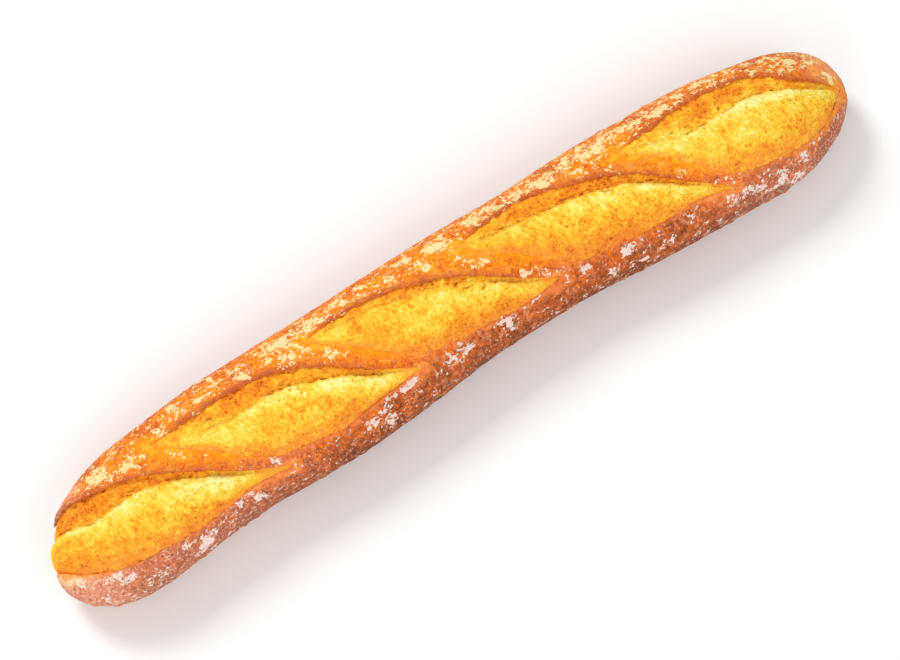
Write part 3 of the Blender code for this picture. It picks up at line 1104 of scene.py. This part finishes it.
def crumb_material(uneven, pores):
    material, make, shader = new_material("torn_crumb", Roughness=0.75, Specular_IOR_Level=0.03)
    place = make("ShaderNodeTexCoord").outputs["Object"]
    baked = group_node(
        make, uneven, Vector=place, Cloud_Size=8.0, Cloud_Swing=0.5, Patch_Size=2.8, Patch_Swing=0.65,
        Grain_Size=1.3, Grain_Swing=0.75,
    )
    color = ramp(make, plus(make, attribute(make, "tone"), baked["Shift"]), CRUMB_TONES)

    # A broken grey-brown shadow lies in the crease
    from_crease = plus(make, attribute(make, "past_crease"), wander(make, place, 3.0, 4.0, 3.0, 0.6))
    crease = times(make, ranged(make, from_crease, -1.5, -0.2), ranged(make, from_crease, 1.3, 0.2))
    crease = times(make, crease, ranged(make, cloud(make, place, 6.0, 2.0), 0.38, 0.56))
    crease = times(make, crease, ranged(make, attribute(make, "opened"), 0.2, 0.8))
    color = blend(make, times(make, crease, 0.4), color, srgb(186, 126, 54))

    # The dough is salmon at the near lip and golden at the tips of the cut
    salmon = times(make, attribute(make, "lip"), ranged(make, cloud(make, place, 3.5), 0.34, 0.6, 0.35, 1.0))
    color = blend(make, times(make, salmon, 0.7), color, srgb(250, 148, 66))
    at_tip = ranged(make, plus(make, attribute(make, "tip"), wander(make, place, 4.0, 0.7)), 0.58, 0.94)
    color = blend(make, times(make, at_tip, 0.75), color, srgb(250, 158, 56))
    # The pores' darker dots are painted shade in the crumb's small holes
    pore_shaded = group_node(
        make, pores, Vector=place, Color=color, Pore_Color=srgb(238, 146, 38), Pore_Size=2.0, Pore_Amount=0.5
    )
    # Painted shade: the crumb is darkened to brown in its hollows
    hollow = times(make, attribute(make, "hollow"), 0.7)
    link(blend(make, hollow, pore_shaded["Color"], srgb(176, 104, 40)), shader.inputs["Base Color"])
    bumped(make, shader, (
        (baked["Patch"], 1.3, 0.75),
        (baked["Grain"], 0.8, 0.8),
        (pore_shaded["Pore"], -0.4, 0.6),
    ))
    return material


def grain_material(uneven):
    material, make, shader = new_material("loose_flour", Roughness=0.95, Specular_IOR_Level=0.1)
    place = make("ShaderNodeTexCoord").outputs["Object"]
    shift = group_node(make, uneven, Vector=place, Cloud_Size=20.0, Patch_Size=6.0, Grain_Size=2.0)["Shift"]
    link(ramp(make, plus(make, shift, 0.5), GRAIN_TONES), shader.inputs["Base Color"])
    return material


# The pieces

def blisters(x, turn):
    """Round blisters on the crust, most of them on the near side: 1 at the middle of each, 0 beside it."""
    flat = np.stack([x, turn * SHOULDER_RADIUS], axis=-1)
    distance, draw = scattered_cells(flat, BLISTER_SPACING, 77)
    chance = mix(0.14, 0.30, smooth_step((-turn - 0.3) / 0.5))
    return np.where(draw < chance, smooth_step((0.30 - distance) / 0.16), 0)


def facing_up(outward):
    """1 on the upper side, falling to 0 where the surface turns to face the floor."""
    return smooth_step((outward[:, 2] - LOWEST_TILT) / TILT_FADE)


def crust_height(x, turn, plain, outward):
    relief = crust_relief(x, plain[:, 1]) * facing_up(outward)
    return add_lumps(relief + BLISTER_HEIGHT * blisters(x, turn), plain)


def flour_field(x, turn, points):
    """How thick the flour lies at each point: thick in the main patches, and a thin dust elsewhere."""
    round_way = turn * SHOULDER_RADIUS
    warp = [2.6 * layered_noise(points, 6.0, seed) for seed in (51, 61)]
    field = from_table(FLOUR_DUST, np.degrees(turn)) + 0.07 * smooth_step((x - 30) / 60)
    field = field + 0.12 * smooth_step((-x - 110) / 60) * (turn < -0.5)
    for patches, strength in ((FAR_FLOUR, 1.0), (STRIP_FLOUR, 0.85), (NEAR_FLOUR, 0.95)):
        for place, angle, length, width in patches:
            along = (x + warp[0] - place) / (length * 0.85)
            around = (round_way + warp[1] - math.radians(angle) * SHOULDER_RADIUS) / (width * 0.85)
            spread = np.exp(-((along**2 + around**2) ** 1.2) * 1.5)
            field = np.maximum(field, PATCH_STRENGTH * strength * spread)
    return field


def edge_distances(points, edge):
    """Distance from each point to the far or near edges of the cuts, and how open the cut is there."""
    places, openness = [], []
    for cut in CUTS:
        (x_left, _), (x_right, _) = cut["tips"]
        x = np.arange(max(x_left, 1 - LENGTH / 2), x_right, 0.5)
        along, far, near = cut_edges(cut, x, ragged=True)
        places.append(body_points(x, turn_at(x, far if edge == "far" else near)))
        openness.append(opened_at(along, far, near))
    places, openness = np.concatenate(places), np.concatenate(openness)
    nearest = nearest_points(places, points)
    return np.linalg.norm(places[nearest] - points, axis=1), openness[nearest]


def make_crust(relief_tree, material):
    share = np.linspace(0.0015, 0.9985, CRUST_RINGS)
    even = np.linspace(-np.pi, np.pi, CRUST_COLUMNS, endpoint=False)
    crust = tube("crust", places_along(share), even - CROWDING * np.sin(even), crust_height)
    add_tree(crust, relief_tree, {
        "Coarse Size": 7.0, "Coarse Height": 0.6, "Fine Size": 2.4, "Fine Height": 0.3, "Seed": 3.0,
        "Material": material,
    })
    return crust


def finish_crust(crust):
    """The numbers that the crust's colours need, worked out from where its points ended up."""
    points = points_of(crust)
    x = inside_tips(points[:, 0])
    turn = turn_of(points)
    plain = body_points(x, turn)
    outward = body_normals(x, turn)
    height = np.einsum("ij,ij->i", points - plain, outward)
    to_ear, ear_open = edge_distances(plain, "far")
    to_lip, lip_open = edge_distances(plain, "near")
    inside = np.zeros(len(x), bool)
    for cut in CUTS:
        along, far, near = cut_edges(cut, x)
        inside |= (along > 0) & (along < 1) & (plain[:, 1] < far + 2) & (plain[:, 1] > near - 2)
    upper = smooth_step((outward[:, 2] + 0.1) / 0.4)
    ends = smooth_step((-x - 200) / 26) + 0.35 * smooth_step((x - 208) / 24)
    near_side = smooth_step((-turn - 0.25) / 0.6)
    clear_of_edges = smooth_step(np.minimum(to_lip / 3.5, to_ear / 1.6))
    flour = flour_field(x, turn, points) * mix(0.35, 1.0, clear_of_edges)
    grain_chance = (np.clip(flour - 0.3, 0, 1) ** 1.5 + 0.01) * upper
    store(crust, {
        # The baked numbers hold the crust's baking together with painted shade on the near side and the
        # turned-down sides
        "baked": from_table(BAKED_AND_SHADED, np.degrees(turn)) - 0.12 * smooth_step((x - 190) / 30),
        "to_ear": to_ear + 7 * (1 - ear_open),
        "to_lip": np.maximum(to_lip - 4 * (1 - lip_open) - 1.8 * smooth_step((x - 165) / 30), 0),
        "wall": smooth_step((-height - 0.9) / 0.8) * inside,
        "flour": flour,
        "near_side": near_side,
        "salmon": near_side * from_table(SALMON, x),
        "rosy": near_side * from_table(ROSY, x),
        "end_tint": np.clip(ends, 0, 1) * 0.75,
        "blister": 0.45 * blisters(x, turn) * smooth_step(to_lip / 3) * smooth_step(to_ear / 3),
        "grain_chance": np.where(inside & (height < -0.3), 0, grain_chance),
    })


def make_crumb(number, cutter, relief_tree, material):
    """The torn dough of one cut: a dense net over its stretch of the loaf, kept only inside its pocket."""
    cut = CUTS[number - 1]
    (x_left, _), (x_right, _) = cut["tips"]
    x_low, x_high = -LENGTH / 2 + RING_MARGIN, x_right + 1
    over_end = x_left < -LENGTH / 2
    if over_end:
        end = x_low + END_RINGS_OVER * np.linspace(0, 1, END_RINGS) ** 2
        beyond = np.arange(-LENGTH / 2 + END_RINGS_OVER + CRUMB_SPACING, x_high, CRUMB_SPACING)
        x_rings = np.concatenate([end, beyond])
    else:
        x_low = x_left - 1
        x_rings = np.linspace(x_low, x_high, int((x_high - x_low) / CRUMB_SPACING))
    _, far, near = cut_edges(cut, x_rings)
    turn_high = math.radians(130) if over_end else turn_at(x_rings, far).max() + 0.06
    turn_low = turn_at(x_rings, near).min() - 0.06
    dense = np.arange(turn_low, turn_high, CRUMB_SPACING / SHOULDER_RADIUS)
    rest = np.linspace(turn_high, turn_low + 2 * np.pi, 24)
    kept = {}

    def height_of(x, turn, plain, outward):
        height, masks = crumb_shape(number, plain, 100 * number)
        kept.update(masks)
        return add_lumps(mix(CRUMB_AT_LIP * 0.5, height, facing_up(outward)), plain)

    crumb = tube(f"crumb_{number}", x_rings, np.concatenate([dense, rest[:-1]]), height_of)
    add_tree(crumb, relief_tree, {
        "Coarse Size": 2.6, "Coarse Height": 0.6, "Fine Size": 1.1, "Fine Height": 0.42, "Seed": 7.0 + number,
        "Material": material,
    })
    plain_mesh_of(crumb)
    before = points_of(crumb)
    boolean(crumb, cutter, "INTERSECT")
    plain_mesh_of(crumb)
    source = nearest_points(before, points_of(crumb))
    for name, values in kept.items():
        store(crumb, {name: np.concatenate([values, values[:1], values[-1:]])[source]})
    return crumb


def make_grains(crust, tree, material):
    """Loose clots of flour, realised as one mesh."""
    grains = bpy.data.objects.new("loose_flour", crust.data.copy())
    bpy.context.scene.collection.objects.link(grains)
    add_tree(grains, tree, {
        "Grains per Square Metre": FLOUR_GRAINS / FLOURED_SQUARE_METRES, "Grain Size": GRAIN_SIZE * MM,
        "Seed": 5, "Material": material,
    })
    plain_mesh_of(grains)
    return grains


def make_camera():
    turn, rise = math.radians(CAMERA_TURN), math.radians(CAMERA_RISE)
    right = Vector((math.cos(turn), math.sin(turn), 0))
    back = Vector((math.sin(turn) * math.cos(rise), -math.cos(turn) * math.cos(rise), math.sin(rise)))
    camera = bpy.data.objects.new("camera", bpy.data.cameras.new("camera"))
    bpy.context.scene.collection.objects.link(camera)
    camera.data.lens = CAMERA_LENS
    camera.data.sensor_width = 36
    place = Matrix((right, back.cross(right), back)).transposed().to_4x4()
    place.translation = (Vector(CAMERA_TARGET) + back * CAMERA_DISTANCE) * MM
    camera.matrix_world = place
    bpy.context.scene.camera = camera


def area_light(name, place, size, power, color=(1, 1, 1)):
    """A square soft light, turned towards the middle of the loaf."""
    light = bpy.data.lights.new(name, "AREA")
    light.size = size
    light.energy = power
    light.color = color
    obj = bpy.data.objects.new(name, light)
    bpy.context.scene.collection.objects.link(obj)
    obj.location = place
    back = (Vector(place) - Vector(LIT_POINT)).normalized()
    obj.rotation_euler = (-back).to_track_quat("-Z", "Y").to_euler()


def make_studio():
    """A plain pale floor, a large soft light from the far side and weak fill from the near side."""
    bpy.ops.mesh.primitive_plane_add(size=6, location=(0, 0, 0))
    floor = bpy.context.object
    floor.name = "floor"
    floor.data.materials.append(new_material("pale_floor", Base_Color=srgb(246, 246, 246), Roughness=0.9)[0])
    for light in LIGHTS:
        area_light(*light)
    world = bpy.data.worlds.new("studio")
    bpy.context.scene.world = world
    world.use_nodes = True
    background = world.node_tree.nodes["Background"]
    background.inputs["Color"].default_value = (1, 1, 1, 1)
    background.inputs["Strength"].default_value = SKY_STRENGTH
    bpy.context.scene.view_settings.view_transform = "Standard"


def main():
    uneven, pores, relief = uneven_group(), pore_group(), fine_relief_tree()
    crust_look = crust_material(uneven, flour_group(), pores)
    crumb_look = crumb_material(uneven, pores)

    cutters = [pocket_cutter(number, cut) for number, cut in enumerate(CUTS, 1)]
    crumbs = [make_crumb(number, cutter, relief, crumb_look) for number, cutter in enumerate(cutters, 1)]
    crust = make_crust(relief, crust_look)
    plain_mesh_of(crust)
    for cutter in cutters:
        boolean(crust, cutter, "DIFFERENCE")
    plain_mesh_of(crust)
    finish_crust(crust)
    for cutter in cutters:
        bpy.data.objects.remove(cutter)
    grains = make_grains(crust, flour_grain_tree(), grain_material(uneven))

    pieces = [crust, *crumbs, grains]
    everything = np.concatenate([points_of(piece) for piece in pieces])
    middle = (everything.min(axis=0) + everything.max(axis=0)) / 2
    for piece in pieces:
        set_points(piece, points_of(piece) - (middle[0], middle[1], 0))
        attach(piece, "root")
        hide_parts("loaf")

    make_studio()
    make_camera()


main()
